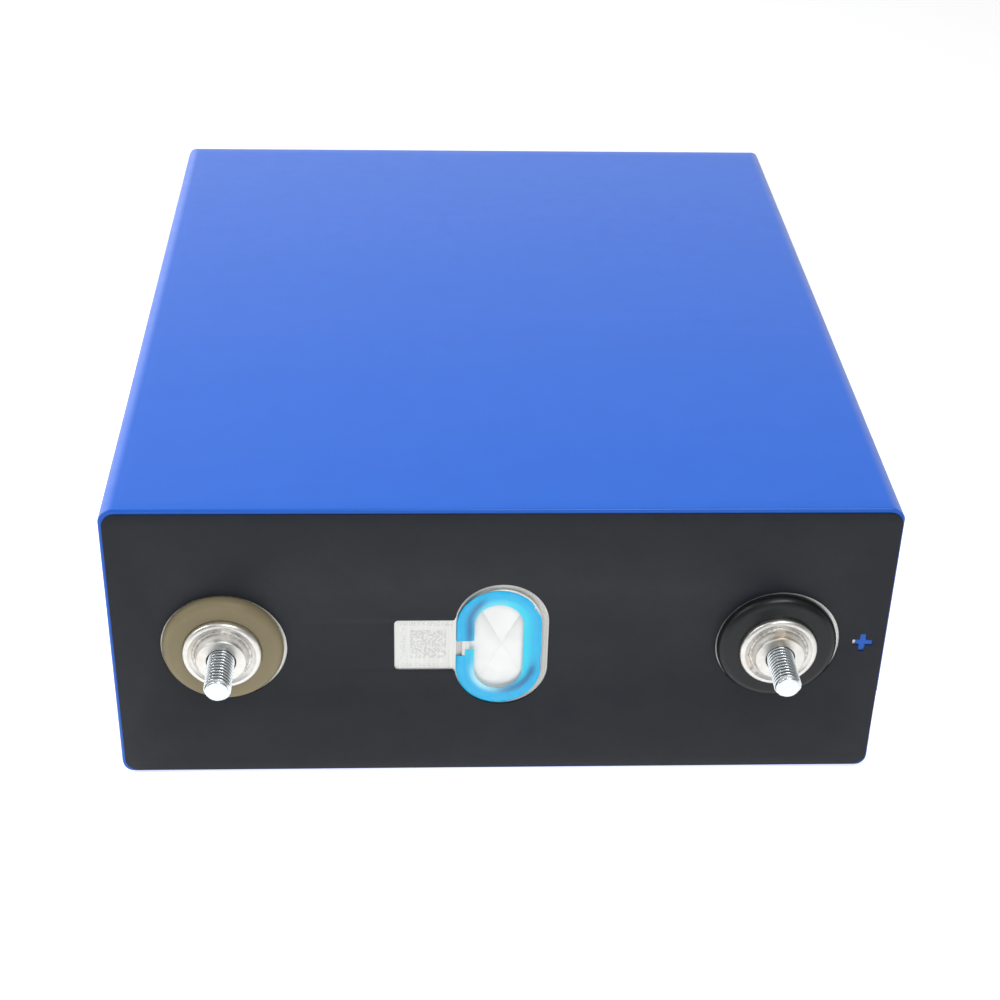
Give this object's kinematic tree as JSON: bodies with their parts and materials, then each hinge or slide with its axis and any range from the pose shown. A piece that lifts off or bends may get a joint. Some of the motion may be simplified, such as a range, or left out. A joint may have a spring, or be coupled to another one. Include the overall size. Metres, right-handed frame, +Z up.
{
  "type": "prismatic battery cell",
  "caption": "Prismatic lithium battery cell in a blue film wrap, with a black lid sheet, threaded stud terminals on insulator rings and an oval pressure vent.",
  "frame": {"origin": "centre of the broad face that the cell rests on", "axes": "+X from the negative to the positive terminal, -Y the way the terminals point, +Z up, out of the upper broad face"},
  "size_m": [0.174, 0.2208, 0.072],
  "materials": {
    "film_blue": "satin blue polyester film with a fine orange-peel surface",
    "sheet_black": "matt black insulating sheet",
    "can_metal": "drawn aluminium, satin",
    "lid_metal": "brushed aluminium plate",
    "weld_metal": "laser weld, rippled",
    "terminal_metal": "turned aluminium, bright",
    "stud_steel": "zinc-plated steel, cool bright",
    "ring_black": "moulded black plastic, satin",
    "ring_tan": "moulded tan plastic, satin",
    "seal_rubber": "black fluororubber",
    "copper_metal": "bare copper",
    "vent_metal": "thin bright aluminium foil",
    "guard_blue": "glossy translucent cyan film",
    "guard_clear": "clear glossy film",
    "inner_plastic": "black moulded plastic",
    "foil_aluminium": "bare aluminium foil",
    "anode_coating": "graphite coating on copper foil",
    "cathode_coating": "dark grey coating on aluminium foil",
    "separator_film": "white microporous film",
    "tape_green": "green adhesive tape",
    "bag_film": "pale blue polyester bag"
  },
  "bodies": {
    "root": {"can": "can_metal", "cover_plate": "lid_metal", "lid_weld_seam": "weld_metal", "fill_stopper": "seal_rubber", "fill_cap": "lid_metal", "vent_disc": "vent_metal", "vent_film_ring": "guard_blue", "vent_film_window": "guard_clear", "lid_sheet": "sheet_black", "wrap_film": "film_blue", "base_film": "film_blue", "positive_insulator_ring": "ring_black", "negative_insulator_ring": "ring_tan", "positive_pad": "terminal_metal", "negative_pad": "terminal_metal", "positive_stud_base": "terminal_metal", "negative_stud_base": "terminal_metal", "positive_base_weld": "weld_metal", "negative_base_weld": "weld_metal", "positive_stud": "stud_steel", "negative_stud": "stud_steel", "positive_post": "foil_aluminium", "negative_post": "copper_metal", "positive_seal": "seal_rubber", "negative_seal": "seal_rubber", "positive_lower_insulator": "inner_plastic", "negative_lower_insulator": "inner_plastic", "positive_collector": "foil_aluminium", "negative_collector": "copper_metal", "positive_tabs": "foil_aluminium", "negative_tabs": "copper_metal", "vent_baffle": "inner_plastic", "core_1_anode": "anode_coating", "core_1_cathode": "cathode_coating", "core_1_separator": "separator_film", "core_1_tape": "tape_green", "core_2_anode": "anode_coating", "core_2_cathode": "cathode_coating", "core_2_separator": "separator_film", "core_2_tape": "tape_green", "inner_bag": "bag_film", "base_spacer": "inner_plastic"}
  },
  "joints": []
}
